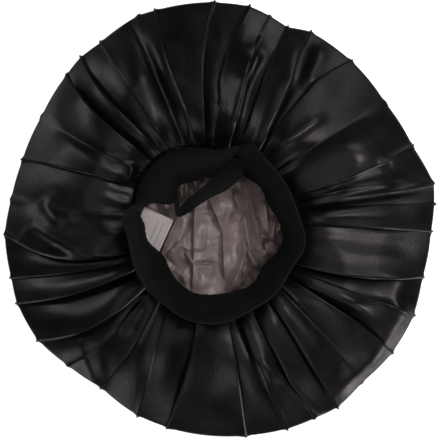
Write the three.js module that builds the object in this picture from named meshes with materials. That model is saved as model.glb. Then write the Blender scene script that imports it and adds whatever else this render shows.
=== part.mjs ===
// A satin shower cap (bonnet) lying on its crown with the head opening up, in millimetres, +Z up.
// The gathered satin and its lining are thin closed walls. Both are sewn to a wide stretch band
// that stands up round the head opening and flops inward at one side. A ruched elastic strap
// crosses the opening and a blank label is sewn inside.
// The origin is the middle of the crown, on the surface that the cap rests on.
import * as THREE from "three";

// ---- Driving dimensions -------------------------------------------------------------------
const CLOTH = 1.0; // wall of the satin, the lining and the label

const SEAM = { x: -8, y: -1, long: 74, short: 59, tilt: 140, z: 33 }; // oval that the band stands on
const BAND = { thick: 2.2, columns: 52, rows: 5 };
const POUF = { height: 46, crest: 0.62, clear: 2.3 }; // crest: its share of the way in
const CROWN = { radius: 148 }; // the round flat that the cap rests on
const LINING = { columns: 46, floor: 1.8, edge: 10 };
const STRAP = { thick: 1.2, stations: 24 };
const LABEL = { long: 34, short: 31, x: -63.4, y: -10.5, turn: -24.5, z: 17, bow: 3.4, dip: 1.6 };
const LABEL_CELLS = 4;

// One row for each crease in the satin, counter-clockwise. edge, mid and root are its angles
// at the outline, part way in and at the band; reach is the outline's radius there; depth is
// how far it sinks; lean says which side laps over it: +1 the next panel, -1 the one before.
const CREASES = [
  { edge: 4.0, mid: 4.5, root: 6.0, reach: 199.7, depth: 2, lean: 0 },
  { edge: 9.5, mid: 12.5, root: 13.0, reach: 201.6, depth: 10, lean: 0.6 },
  { edge: 20.8, mid: 18.0, root: 18.5, reach: 191.5, depth: 3, lean: -0.6 },
  { edge: 35.0, mid: 36.0, root: 36.0, reach: 187.9, depth: 2, lean: 0 },
  { edge: 50.2, mid: 54.5, root: 48.0, reach: 191.0, depth: 6, lean: -0.3 },
  { edge: 64.0, mid: 61.5, root: 55.0, reach: 193.3, depth: 9, lean: -0.4 },
  { edge: 70.5, mid: 70.5, root: 67.0, reach: 188.7, depth: 3, lean: 0 },
  { edge: 76.0, mid: 78.5, root: 76.0, reach: 194.0, depth: 8, lean: 0.6 },
  { edge: 82.0, mid: 86.5, root: 88.0, reach: 199.3, depth: 4, lean: -0.5 },
  { edge: 91.2, mid: 95.2, root: 95.0, reach: 201.1, depth: 9, lean: 0.6 },
  { edge: 107.1, mid: 107.5, root: 101.0, reach: 202.5, depth: 4, lean: -0.2 },
  { edge: 111.5, mid: 112.0, root: 109.5, reach: 203.4, depth: 9, lean: -0.6 },
  { edge: 124.0, mid: 122.5, root: 118.5, reach: 197.5, depth: 6, lean: -0.5 },
  { edge: 130.5, mid: 132.5, root: 127.0, reach: 197.9, depth: 8, lean: 0.4 },
  { edge: 136.5, mid: 139.3, root: 136.0, reach: 195.1, depth: 7, lean: 0.7 },
  { edge: 150.0, mid: 150.0, root: 147.0, reach: 190.6, depth: 2, lean: 0 },
  { edge: 163.3, mid: 160.0, root: 156.5, reach: 190.9, depth: 6, lean: -0.5 },
  { edge: 174.5, mid: 176.0, root: 177.0, reach: 194.2, depth: 4, lean: -0.2 },
  { edge: 184.0, mid: 191.5, root: 201.0, reach: 199.7, depth: 8, lean: -0.6 },
  { edge: 195.8, mid: 199.5, root: 207.5, reach: 200.7, depth: 6, lean: -0.3 },
  { edge: 202.6, mid: 207.5, root: 213.5, reach: 203.4, depth: 9, lean: -0.6 },
  { edge: 213.8, mid: 218.5, root: 223.0, reach: 202.5, depth: 6, lean: -0.3 },
  { edge: 224.0, mid: 227.5, root: 229.5, reach: 195.6, depth: 4, lean: 0.3 },
  { edge: 235.0, mid: 236.0, root: 233.5, reach: 191.0, depth: 4, lean: 0 },
  { edge: 247.5, mid: 245.0, root: 238.0, reach: 197.5, depth: 7, lean: -0.4 },
  { edge: 255.8, mid: 260.0, root: 264.5, reach: 199.3, depth: 10, lean: 0.7 },
  { edge: 277.0, mid: 277.3, root: 279.0, reach: 202.5, depth: 6, lean: -0.5 },
  { edge: 287.8, mid: 287.0, root: 286.0, reach: 204.4, depth: 7, lean: 0.3 },
  { edge: 295.5, mid: 295.0, root: 297.0, reach: 204.8, depth: 4, lean: 0.4 },
  { edge: 302.0, mid: 304.3, root: 309.0, reach: 206.2, depth: 6, lean: 0.4 },
  { edge: 311.0, mid: 313.0, root: 315.5, reach: 201.1, depth: 2, lean: 0 },
  { edge: 322.3, mid: 323.0, root: 320.0, reach: 202.5, depth: 8, lean: -0.5 },
  { edge: 333.8, mid: 331.5, root: 325.5, reach: 201.1, depth: 7, lean: -0.3 },
  { edge: 344.0, mid: 338.7, root: 332.0, reach: 196.0, depth: 9, lean: 0.6 },
  { edge: 356.6, mid: 357.7, root: 358.5, reach: 196.5, depth: 5, lean: -0.2 },
];
const PANEL_STEPS = [0, 0.2, 0.5, 0.8]; // where each panel is sampled, from its crease to the next
const MID_AT = 0.45; // how far in the mid angle is met
const NUB = 1.5; // how far a crease's end stands out of the outline

// The satin's edge from the flat crown up: a share of its reach, a step back, and its height.
const EDGE_ROWS = [
  { share: 0.93, back: 0, z: 0.8 },
  { share: 1, back: 2.4, z: 2.4 },
  { share: 1, back: 0, z: 6 },
  { share: 1, back: 0.8, z: 9.5 },
];
const TOP_ROWS = [0.1, 0.22, 0.36, 0.5, 0.64, 0.78, 0.9, 1]; // shares of the way in

// How much of a crease's depth shows, at a share of the way in.
const CREASE_STRENGTH = [
  { at: 0, value: 0.1 },
  { at: 0.22, value: 0.6 },
  { at: 0.5, value: 1 },
  { at: 0.85, value: 0.8 },
  { at: 1, value: 0 },
];

// One row for each section of the band: its angle on the seam's oval, its free edge's place,
// and how far its middle stands above the straight line between the two.
const BAND_SECTIONS = [
  { seam: 0, x: 73, y: -8, z: 79, arch: 2 },
  { seam: 20, x: 64, y: 19, z: 79, arch: 2 },
  { seam: 42, x: 45, y: 47, z: 78, arch: 2 },
  { seam: 62, x: 32, y: 63, z: 75, arch: 3 },
  { seam: 80, x: 18, y: 63, z: 62, arch: 6 },
  { seam: 97, x: 2, y: 46, z: 49, arch: 13 },
  { seam: 113, x: -17, y: 37, z: 43, arch: 14 },
  { seam: 127, x: -36, y: 32, z: 41, arch: 13 },
  { seam: 142, x: -40, y: 20, z: 41, arch: 11 },
  { seam: 155, x: -46, y: 14, z: 45, arch: 11 },
  { seam: 165, x: -62, y: 14, z: 56, arch: 8 },
  { seam: 176, x: -77, y: 11, z: 69, arch: 4 },
  { seam: 190, x: -84, y: -4, z: 76, arch: 2 },
  { seam: 208, x: -78, y: -32, z: 77, arch: 2 },
  { seam: 230, x: -59, y: -65, z: 74, arch: 2 },
  { seam: 252, x: -34, y: -86, z: 71, arch: 2 },
  { seam: 272, x: -8, y: -92, z: 71, arch: 2 },
  { seam: 292, x: 21, y: -84, z: 74, arch: 2 },
  { seam: 312, x: 46, y: -67, z: 78, arch: 2 },
  { seam: 332, x: 67, y: -40, z: 79, arch: 2 },
  { seam: 346, x: 73, y: -23, z: 79, arch: 2 },
];

// Folds standing on the crown's lining, each a ridge from one place to another.
const LINING_FOLDS = [
  { x1: -2, y1: 8, x2: 10, y2: -18, high: 4, wide: 9 },
  { x1: 21, y1: 26, x2: 35, y2: -16, high: 5, wide: 8 },
  { x1: 19, y1: 2, x2: 17, y2: -62, high: 6, wide: 9 },
  { x1: 24, y1: -14, x2: 38, y2: -42, high: 5, wide: 8 },
  { x1: 50, y1: 18, x2: 46, y2: -30, high: 6, wide: 9 },
  { x1: -42, y1: -26, x2: -28, y2: -44, high: 6, wide: 12 },
  { x1: -24, y1: -40, x2: -2, y2: -42, high: 5, wide: 8 },
  { x1: -20, y1: -44, x2: 2, y2: -66, high: 3, wide: 12 },
];

// The profile of the lining's upper layer from the band outward: shares of the way from the
// seam (0) to the lining's outer edge (1), an offset across the seam, and heights.
const LINING_PROFILE = [
  { out: 0, across: 2.0, z: 30.8 },
  { out: 0, across: -3.0, z: 29.8 },
  { out: 0, across: -3.8, z: 25.5 },
  { out: 0, across: 3.0, z: 23.5 },
  { out: 0.2, across: 0, z: 27 },
  { out: 0.45, across: 0, z: 28.5 },
  { out: 0.72, across: 0, z: 24.5 },
  { out: 0.93, across: 0, z: 14 },
];
const CROWN_RINGS = [12, 25, 38, 50, 62, 90]; // radii of the rings that carry the lining's folds

// The lining's edge from the crown up: a step back from its outermost line, and its height.
const LINING_TURN = [
  { back: 15, z: 2.2 },
  { back: 1.5, z: 4.2 },
  { back: 0, z: 7 },
];

// The strap's centreline from the band's inner face to its fold and back up under the band:
// place, width, and how far its face turns about its own length, in degrees.
const STRAP_ROUTE = [
  { x: 16.8, y: 53.7, z: 51.5, wide: 14, roll: -20 },
  { x: 14.6, y: 50.0, z: 46, wide: 17, roll: -14 },
  { x: 11, y: 43, z: 41.5, wide: 19, roll: -6 },
  { x: 2, y: 33, z: 37.5, wide: 19, roll: 0 },
  { x: -10, y: 22.5, z: 33.5, wide: 16, roll: 6 },
  { x: -24, y: 10.5, z: 29, wide: 12, roll: 12 },
  { x: -35.5, y: 1.8, z: 27, wide: 8, roll: 25 },
  { x: -41.5, y: 7, z: 28, wide: 8, roll: 10 },
  { x: -44, y: 18, z: 30, wide: 9, roll: 0 },
  { x: -51.5, y: 29, z: 33, wide: 10, roll: 0 },
  { x: -63.6, y: 37.0, z: 36.6, wide: 9, roll: 0 },
];

// ---- Small helpers ------------------------------------------------------------------------
const rad = THREE.MathUtils.degToRad;
const mix = THREE.MathUtils.lerp;
const point = (x, y, z) => new THREE.Vector3(x, y, z);

function polar(degrees, radius, z) {
  return point(radius * Math.cos(rad(degrees)), radius * Math.sin(rad(degrees)), z);
}

// The value at a place between two rows of a table with columns at and value.
function along(rows, at) {
  const next = Math.max(1, rows.findIndex((row) => row.at >= at));
  const [low, high] = [rows[next - 1], rows[next]];
  return mix(low.value, high.value, (at - low.at) / (high.at - low.at));
}

// The seam's oval, moved outward by offset, at an angle in degrees about its own middle.
function seamPoint(degrees, offset, z) {
  const turned = rad(degrees - SEAM.tilt);
  const radius =
    (SEAM.long * SEAM.short) /
      Math.hypot(SEAM.short * Math.cos(turned), SEAM.long * Math.sin(turned)) + offset;
  return polar(degrees, radius, z).add(point(SEAM.x, SEAM.y, 0));
}

// Collects vertices and triangles; a ring is a list of points round the cap.
class Skin {
  constructor() {
    this.positions = [];
    this.indices = [];
  }
  ring(points) {
    const first = this.positions.length / 3;
    points.forEach((p) => this.positions.push(p.x, p.y, p.z));
    return points.map((_, i) => first + i);
  }
  quad(a, b, c, d) {
    this.indices.push(a, b, c, a, c, d);
  }
  // Faces between two rings, facing the side on the right of the way from lower to upper.
  belt(lower, upper, closed = true) {
    const count = lower.length;
    for (let i = 0; i < (closed ? count : count - 1); i++) {
      const j = (i + 1) % count;
      this.quad(lower[i], lower[j], upper[j], upper[i]);
    }
  }
  // A flat face that fills a round ring: corners are cut off until nothing is left.
  disk(ring, up) {
    let left = ring;
    while (left.length > 2) {
      const corners = left;
      for (let i = 0; i + 1 < corners.length; i += 2) {
        const [a, b, c] = [corners[i], corners[i + 1], corners[(i + 2) % corners.length]];
        this.indices.push(...(up ? [a, b, c] : [a, c, b]));
      }
      left = corners.filter((_, i) => i % 2 === 0);
    }
  }
  geometry() {
    const made = new THREE.BufferGeometry();
    made.setAttribute("position", new THREE.Float32BufferAttribute(this.positions, 3));
    made.setIndex(this.indices);
    made.computeVertexNormals();
    return made;
  }
}

// The points of each row moved inward by a wall's thickness, along the surface's own normal.
function inset(rows, thickness) {
  return rows.map((row, r) =>
    row.map((p, c) => {
      const count = row.length;
      const around = row[(c + 1) % count].clone().sub(row[(c + count - 1) % count]);
      const onward = rows[Math.min(r + 1, rows.length - 1)][c]
        .clone()
        .sub(rows[Math.max(r - 1, 0)][c]);
      const outward = around.cross(onward).normalize();
      return p.clone().addScaledVector(outward, -thickness);
    })
  );
}

// A bag: rows run from the crown outward, over the edge and back in to its mouth.
function bag(outerRows, innerRows) {
  const skin = new Skin();
  const outer = outerRows.map((row) => skin.ring(row));
  const inner = innerRows.map((row) => skin.ring(row));
  for (let r = 1; r < outer.length; r++) {
    skin.belt(outer[r - 1], outer[r]);
    skin.belt(inner[r], inner[r - 1]);
  }
  skin.belt(outer.at(-1), inner.at(-1));
  skin.disk(outer[0], false);
  skin.disk(inner[0], true);
  return skin.geometry();
}

// ---- Satin --------------------------------------------------------------------------------
// How much of a crease's depth is left at a share t of the panel beside it.
function creaseFall(t, steep) {
  return Math.max(0, 1 - t / mix(0.55, 0.16, steep)) ** 1.3;
}

// One column of the satin: a crease's row and the next, and the share of the panel between.
function satinColumn(index, t) {
  const here = CREASES[index];
  const next = { ...CREASES[(index + 1) % CREASES.length] };
  if (next.edge < here.edge) for (const key of ["edge", "mid", "root"]) next[key] += 360;
  const angles = ["edge", "mid", "root"].map((key) => mix(here[key], next[key], t));
  const sunk =
    here.depth * creaseFall(t, (1 + here.lean) / 2) +
    next.depth * creaseFall(1 - t, (1 - next.lean) / 2);
  const reach = mix(here.reach, next.reach, t) - (t === 0 ? 0 : NUB);
  return { angles, sunk, reach };
}

function columnAngle([edge, mid, root], inward) {
  const bend = (mid - mix(edge, root, MID_AT)) / (MID_AT * (1 - MID_AT));
  return mix(edge, root, inward) + bend * inward * (1 - inward);
}

// Height of the satin's upper side before it is creased, at a share of the way in to the seam.
function poufHeight(inward) {
  if (inward <= POUF.crest) {
    const rise = Math.sin((Math.PI / 2) * (inward / POUF.crest));
    return mix(EDGE_ROWS.at(-1).z, POUF.height, rise);
  }
  const fall = (inward - POUF.crest) / (1 - POUF.crest);
  return mix(POUF.height, SEAM.z + CLOTH / 2, fall ** 2.2);
}

function satinTop(column, inward) {
  const angle = columnAngle(column.angles, inward);
  const mouth = seamPoint(angle, POUF.clear, 0);
  const radius = mix(column.reach, Math.hypot(mouth.x - SEAM.x, mouth.y - SEAM.y), inward);
  const height = poufHeight(inward) - column.sunk * along(CREASE_STRENGTH, inward);
  return polar(angle, radius, height).add(point(inward * SEAM.x, inward * SEAM.y, 0));
}

function satinGeometry() {
  const columns = CREASES.flatMap((_, i) => PANEL_STEPS.map((t) => satinColumn(i, t)));
  const crown = columns.map(({ angles }) => polar(angles[0], CROWN.radius, 0));
  const edge = EDGE_ROWS.map(({ share, back, z }) =>
    columns.map(({ angles, reach }) => polar(angles[0], reach * share - back, z))
  );
  const above = TOP_ROWS.map((inward) => columns.map((column) => satinTop(column, inward)));
  const rows = [crown, ...edge, ...above];
  const inner = inset(rows, CLOTH);
  inner[0].forEach((p) => p.setZ(CLOTH));
  return bag(rows, inner);
}

// ---- Lining -------------------------------------------------------------------------------
// Radius of the satin's outline at an angle in degrees.
function outlineRadius(degrees) {
  const rows = CREASES.map(({ edge, reach }) => ({ at: edge, value: reach - NUB }));
  const [first, last] = [rows[0], rows.at(-1)];
  rows.unshift({ at: last.at - 360, value: last.value });
  rows.push({ at: first.at + 360, value: first.value });
  return along(rows, degrees);
}

// Height of the folds that stand on the crown's lining.
function liningFold(x, y) {
  return LINING_FOLDS.reduce((height, { x1, y1, x2, y2, high, wide }) => {
    const [dx, dy] = [x2 - x1, y2 - y1];
    const t = THREE.MathUtils.clamp(((x - x1) * dx + (y - y1) * dy) / (dx * dx + dy * dy), 0, 1);
    const away = Math.hypot(x - x1 - t * dx, y - y1 - t * dy) / wide;
    return Math.max(height, high * Math.exp(-away * away));
  }, 0);
}

function liningAngles() {
  return Array.from({ length: LINING.columns }, (_, i) => (360 * i) / LINING.columns);
}

// The lining's outer edge, a little inside the satin's.
function liningEdge(degrees, back, z) {
  return polar(degrees, outlineRadius(degrees) - LINING.edge - back, z);
}

function liningGeometry() {
  const angles = liningAngles();
  const crown = CROWN_RINGS.map((radius) =>
    angles.map((degrees) => {
      const place = polar(degrees, radius, LINING.floor).add(point(SEAM.x, SEAM.y, 0));
      return place.setZ(LINING.floor + liningFold(place.x, place.y));
    })
  );
  crown[0].forEach((p) => p.setZ(LINING.floor));
  const turn = LINING_TURN.map(({ back, z }) =>
    angles.map((degrees) => liningEdge(degrees, back, z))
  );
  const upper = LINING_PROFILE.toReversed().map(({ out, across, z }) =>
    angles.map((degrees) => seamPoint(degrees, across, z).lerp(liningEdge(degrees, 0, z), out))
  );
  const rows = [...crown, ...turn, ...upper];
  const inner = inset(rows, CLOTH);
  inner[0].forEach((p) => p.setZ(LINING.floor + CLOTH));
  return bag(rows, inner);
}

// ---- Band ---------------------------------------------------------------------------------
// The band's middle surface: a place round it (0 to 1) and a share of its width from the seam.
const freeEdge = new THREE.CatmullRomCurve3(
  BAND_SECTIONS.map(({ x, y, z }) => point(x, y, z)),
  true,
  "catmullrom"
);

function bandSection(around) {
  const count = BAND_SECTIONS.length;
  const place = around * count;
  const here = BAND_SECTIONS[Math.floor(place) % count];
  const next = BAND_SECTIONS[(Math.floor(place) + 1) % count];
  const t = place % 1;
  const turn = next.seam < here.seam ? 360 : 0;
  return { seam: mix(here.seam, next.seam + turn, t), arch: mix(here.arch, next.arch, t) };
}

function bandPoint(around, share) {
  const { seam, arch } = bandSection(around);
  const foot = seamPoint(seam, 0, SEAM.z);
  const hem = freeEdge.getPoint(around % 1);
  const bulge = 4 * share * (1 - share) * arch;
  return foot.lerp(hem, share).add(point(0, 0, bulge));
}

// Which way the band's outer face looks.
function bandOutward(around, share) {
  const step = 1e-3;
  const ahead = bandPoint((around + step) % 1, share);
  const above = bandPoint(around, Math.min(1, share + step));
  const below = bandPoint(around, Math.max(0, share - step));
  return ahead.sub(bandPoint((around + 1 - step) % 1, share)).cross(above.sub(below)).normalize();
}

function bandGeometry() {
  const skin = new Skin();
  const arounds = Array.from({ length: BAND.columns }, (_, i) => i / BAND.columns);
  const shares = Array.from({ length: BAND.rows + 1 }, (_, i) => i / BAND.rows);
  const face = (side) =>
    shares.map((share) =>
      skin.ring(
        arounds.map((a) =>
          bandPoint(a, share).addScaledVector(bandOutward(a, share), (side * BAND.thick) / 2)
        )
      )
    );
  const roundedHem = skin.ring(
    arounds.map((a) => {
      const top = bandPoint(a, 1);
      const upward = top.clone().sub(bandPoint(a, 0.95)).setLength(BAND.thick / 2);
      return top.add(upward);
    })
  );
  const outer = face(1);
  const inner = face(-1);
  for (let r = 1; r < shares.length; r++) {
    skin.belt(outer[r - 1], outer[r]);
    skin.belt(inner[r], inner[r - 1]);
  }
  skin.belt(outer.at(-1), roundedHem);
  skin.belt(roundedHem, inner.at(-1));
  skin.belt(inner[0], outer[0]);
  return skin.geometry();
}

// ---- Strap and label ----------------------------------------------------------------------
// A closed strip lofted through four-cornered sections.
function strip(sections) {
  const skin = new Skin();
  const rings = sections.map((corners) => skin.ring(corners));
  for (let r = 1; r < rings.length; r++) skin.belt(rings[r - 1], rings[r]);
  skin.quad(...rings[0].toReversed());
  skin.quad(...rings.at(-1));
  return skin.geometry();
}

function strapGeometry() {
  const line = new THREE.CatmullRomCurve3(
    STRAP_ROUTE.map(({ x, y, z }) => point(x, y, z)),
    false,
    "catmullrom"
  );
  const last = STRAP_ROUTE.length - 1;
  const sections = Array.from({ length: STRAP.stations }, (_, i) => {
    const t = i / (STRAP.stations - 1);
    const row = Math.min(last - 1, Math.floor(t * last));
    const [here, next] = [STRAP_ROUTE[row], STRAP_ROUTE[row + 1]];
    const wide = mix(here.wide, next.wide, t * last - row);
    const roll = rad(mix(here.roll, next.roll, t * last - row));
    const ahead = line.getTangent(t);
    const level = point(-ahead.y, ahead.x, 0).normalize();
    const across = level.applyAxisAngle(ahead, roll);
    const up = ahead.clone().cross(across);
    const centre = line.getPoint(t);
    const corner = (side, face) =>
      centre
        .clone()
        .addScaledVector(across, (side * wide) / 2)
        .addScaledVector(up, (face * STRAP.thick) / 2);
    return [corner(-1, -1), corner(-1, 1), corner(1, 1), corner(1, -1)];
  });
  return strip(sections.toReversed());
}

// The label starts under the lining's upper layer with its sewn end up, and bows on its way in.
function labelGeometry() {
  const half = LABEL.long / 2;
  const sections = Array.from({ length: LABEL_CELLS + 1 }, (_, i) => {
    const share = i / LABEL_CELLS - 0.5;
    const x = share * LABEL.short;
    const z = LABEL.z + LABEL.bow * (2 * share) ** 2 - LABEL.dip * share;
    return [
      point(x, -half, z),
      point(x, half, z),
      point(x, half, z + CLOTH),
      point(x, -half, z + CLOTH),
    ];
  });
  return strip(sections);
}

// ---- Assembly -----------------------------------------------------------------------------
function cloth(colour, roughness, metalness = 0) {
  return new THREE.MeshStandardMaterial({ color: colour, roughness, metalness });
}

function piece(name, geometry, material) {
  const mesh = new THREE.Mesh(geometry, material);
  mesh.name = name;
  return mesh;
}

const showerCap = new THREE.Group();
showerCap.name = "shower_cap";

const label = piece("care_label", labelGeometry(), cloth(0xd2cecb, 0.75));
label.position.set(LABEL.x, LABEL.y, 0);
label.rotation.z = rad(LABEL.turn);

showerCap.add(
  piece("satin_crown", satinGeometry(), cloth(0x16151a, 0.3)),
  piece("lining", liningGeometry(), cloth(0x857c78, 0.45)),
  piece("stretch_band", bandGeometry(), cloth(0x141414, 0.9)),
  piece("elastic_strap", strapGeometry(), cloth(0x0d0d0e, 0.7)),
  label
);

export default showerCap;
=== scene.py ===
"""A black satin shower cap lying on its crown with its head opening up.

The satin, the lining, the knit band, the strap and the label are modelled as cloth, each in
place of one plain solid. Tables are in millimetres and degrees. Blender is in metres.
"""

import math
from collections import namedtuple

import bpy
import numpy as np
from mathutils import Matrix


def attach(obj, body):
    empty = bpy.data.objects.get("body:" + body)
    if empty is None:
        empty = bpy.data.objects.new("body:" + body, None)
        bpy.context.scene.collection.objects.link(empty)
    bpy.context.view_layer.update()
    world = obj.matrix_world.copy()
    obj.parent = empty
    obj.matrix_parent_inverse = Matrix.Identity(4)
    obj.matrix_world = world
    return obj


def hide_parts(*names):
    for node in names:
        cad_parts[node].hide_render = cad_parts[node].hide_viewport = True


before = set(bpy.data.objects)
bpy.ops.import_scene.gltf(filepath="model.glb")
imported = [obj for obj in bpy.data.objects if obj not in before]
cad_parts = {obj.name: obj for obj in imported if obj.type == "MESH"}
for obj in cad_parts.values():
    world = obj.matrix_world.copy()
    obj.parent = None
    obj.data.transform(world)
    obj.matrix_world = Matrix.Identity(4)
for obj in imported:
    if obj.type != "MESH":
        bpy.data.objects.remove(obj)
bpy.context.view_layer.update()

MM = 0.001
CLOTH = 0.7  # thickness of the satin and the lining as seen
SEAM = {"x": -8, "y": -1, "long": 74, "short": 59, "tilt": 140, "z": 33}
# Where the seam leaves its oval: the angle, how far outward it goes, and over how many degrees.
Dent = namedtuple("Dent", "turn out wide")
SEAM_DENTS = [
    Dent(15, -7.5, 20),
    Dent(54, -7.5, 17),
    Dent(184, -4, 9),
    Dent(216, -5, 13),
    Dent(256, 7.5, 22),
    Dent(321, -9.5, 15),
]
POUF = {
    "edge": 15.5,  # height of its side
    "height": 39,  # height of its crest
    "crest": 0.62,  # share of the way in where the crest is
    "rise": 1.4,  # power of its slope outside the crest
    "fall": 2.2,  # power of its slope inside the crest
    "mouth": 33.5,  # height of its inner edge, before the crevice
    "crevice": 5,  # how much lower it sinks at the band
    "clear": 1.4,  # distance of its inner edge from the seam
}

# Irregular waves on a ring: their height, how many there are round the cap and along the way
# in, and the seed that they are drawn with.
Waves = namedtuple("Waves", "high around along seed")
CREST_WANDER = Waves(0.1, 6, 0.0, 11)
CREST_HEIGHT = Waves(1.5, 8, 0.0, 13)
SATIN_SOFT = Waves(0.55, 8, 0.8, 3)
SATIN_FINE = Waves(0.3, 22, 0.5, 5)
SATIN_GATHERS = Waves(0.3, 44, 0.25, 9)
SATIN_CRUMPLE = Waves(0.35, 20, 0.8, 17)
CRUMPLED_PARTS = Waves(1.0, 3, 0.7, 15)
BAND_SWAY = Waves(0.7, 9, 0.5, 21)
BAND_SLACK = Waves(0.9, 13, 0.9, 25)
BAND_PUCKER = Waves(0.15, 60, 0.4, 23)
LINING_PLEATS = Waves(1.2, 40, 0.1, 35)
# The same on a plane.
Patches = namedtuple("Patches", "high wavelength seed")
LINING_SWELLS = Patches(1.5, 45, 31)
LINING_CRUSH = Patches(1.3, 20, 33)

# One row for each crease of the satin, counter-clockwise. edge, mid and root are its angles at
# the outline, part way in and at the band; reach is the outline's radius there. drop is the step
# between its two sides: laps is +1 where the next panel lies on top, -1 where the one before
# does, 0 for a valley. starts and ends are the shares of the way in where the step shows.
# full is how far the panel that follows swells.
Crease = namedtuple("Crease", "edge mid root reach drop laps starts ends full")
CREASES = [
    Crease(4.0, 4.5, 6.0, 199.7, 1.5, -1, 0.0, 1.0, 1.5),
    Crease(9.5, 12.5, 13.0, 201.6, 8.0, 0, 0.0, 1.0, 2.0),
    Crease(20.8, 18.0, 18.5, 191.5, 6.0, 1, 0.0, 1.0, 3.0),
    Crease(35.0, 36.0, 36.0, 187.9, 0.6, 0, 0.0, 0.4, 3.0),
    Crease(50.2, 54.5, 48.0, 191.0, 4.0, -1, 0.0, 1.0, 2.5),
    Crease(64.0, 61.5, 55.0, 193.3, 7.0, 1, 0.0, 1.0, 1.5),
    Crease(70.5, 70.5, 67.0, 188.7, 2.5, -1, 0.0, 1.0, 1.0),
    Crease(76.0, 78.5, 76.0, 194.0, 6.0, 1, 0.28, 1.0, 2.0),
    Crease(82.0, 86.5, 88.0, 199.3, 3.0, -1, 0.0, 0.5, 1.5),
    Crease(91.2, 95.2, 95.0, 201.1, 6.0, 1, 0.0, 1.0, 1.0),
    Crease(107.1, 107.5, 101.0, 202.5, 1.5, 1, 0.0, 1.0, 0.0),
    Crease(111.5, 112.4, 109.5, 203.4, 3.5, 0, 0.0, 1.0, 0.5),
    Crease(124.0, 122.5, 118.5, 197.5, 4.0, -1, 0.0, 1.0, 2.0),
    Crease(130.5, 132.5, 127.0, 197.9, 5.0, 1, 0.0, 1.0, 1.5),
    Crease(136.5, 139.3, 136.0, 195.1, 6.0, 1, 0.1, 1.0, 2.0),
    Crease(150.0, 150.0, 147.0, 190.6, 0.6, 0, 0.0, 0.4, 2.0),
    Crease(163.3, 160.0, 156.5, 190.9, 3.5, -1, 0.0, 1.0, 1.5),
    Crease(174.5, 176.0, 177.0, 194.2, 1.5, 0, 0.0, 1.0, 1.5),
    Crease(184.0, 194.5, 201.0, 199.7, 5.0, -1, 0.1, 1.0, 2.0),
    Crease(195.8, 199.5, 207.5, 200.7, 3.0, -1, 0.0, 1.0, 1.0),
    Crease(202.6, 207.5, 213.5, 203.4, 7.0, -1, 0.0, 1.0, 1.0),
    Crease(213.8, 221.5, 225.0, 202.5, 5.5, -1, 0.0, 1.0, 2.0),
    Crease(224.0, 228.5, 230.5, 195.6, 3.0, 1, 0.5, 1.0, 1.0),
    Crease(235.0, 236.0, 233.5, 191.0, 2.0, -1, 0.0, 1.0, 1.5),
    Crease(247.5, 245.0, 238.0, 197.5, 4.0, -1, 0.0, 1.0, 2.0),
    Crease(255.8, 260.0, 264.5, 199.3, 8.0, 1, 0.0, 1.0, 1.0),
    Crease(277.0, 277.3, 279.0, 202.5, 6.0, -1, 0.0, 1.0, 2.5),
    Crease(287.8, 287.0, 286.0, 204.4, 4.0, 1, 0.0, 1.0, 1.5),
    Crease(295.5, 295.0, 297.0, 204.8, 3.0, 1, 0.2, 0.8, 1.0),
    Crease(302.0, 304.3, 309.0, 206.2, 4.0, 1, 0.0, 1.0, 1.5),
    Crease(311.0, 313.0, 315.5, 201.1, 0.8, 0, 0.0, 0.6, 1.5),
    Crease(322.3, 323.0, 320.0, 202.5, 5.0, -1, 0.0, 1.0, 2.5),
    Crease(333.8, 331.5, 325.5, 201.1, 4.0, -1, 0.0, 1.0, 1.5),
    Crease(344.0, 338.7, 332.0, 196.0, 6.0, 1, 0.0, 1.0, 1.5),
    Crease(356.6, 357.7, 358.5, 196.5, 3.5, 1, 0.0, 1.0, 3.5),
]
MID_AT = 0.45  # share of the way in where the angle mid counts
NUB = 1.5  # how far the outline draws back between its nubs at the creases
NUB_SHARP = 9  # a nub takes up 1 / this share of the panel on each side

# The band's sections, as on the solid: angle on the seam, free edge, and arch of its middle.
Section = namedtuple("Section", "seam x y z arch")
BAND_SECTIONS = [
    Section(0, 73, -8, 79, 2),
    Section(20, 64, 19, 79, 2),
    Section(42, 45, 47, 78, 2),
    Section(62, 32, 63, 75, 3),
    Section(80, 18, 63, 62, 6),
    Section(97, 2, 46, 49, 13),
    Section(113, -17, 37, 43, 14),
    Section(127, -36, 32, 41, 13),
    Section(142, -40, 20, 41, 11),
    Section(155, -46, 14, 45, 11),
    Section(165, -62, 14, 56, 8),
    Section(176, -77, 11, 69, 4),
    Section(190, -84, -4, 76, 2),
    Section(208, -78, -32, 77, 2),
    Section(230, -59, -65, 74, 2),
    Section(252, -34, -86, 71, 2),
    Section(272, -8, -92, 71, 2),
    Section(292, 21, -84, 74, 2),
    Section(312, 46, -67, 78, 2),
    Section(332, 67, -40, 79, 2),
    Section(346, 73, -23, 79, 2),
]
BAND_FOOT = 31.5  # height where the sections start
BAND_TUCK = 6.0  # how much lower its foot goes, behind the satin's inner edge
BAND_THICK = 2.2
BAND_GIRTH = 110  # length of its pattern round the section
HEM_STITCH = {"at": 0.84, "deep": 0.45, "wide": 0.035}  # in shares of its height and thickness
HEM_ARC = (30, 60, 90, 120, 150)  # angles of the round free edge

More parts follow.
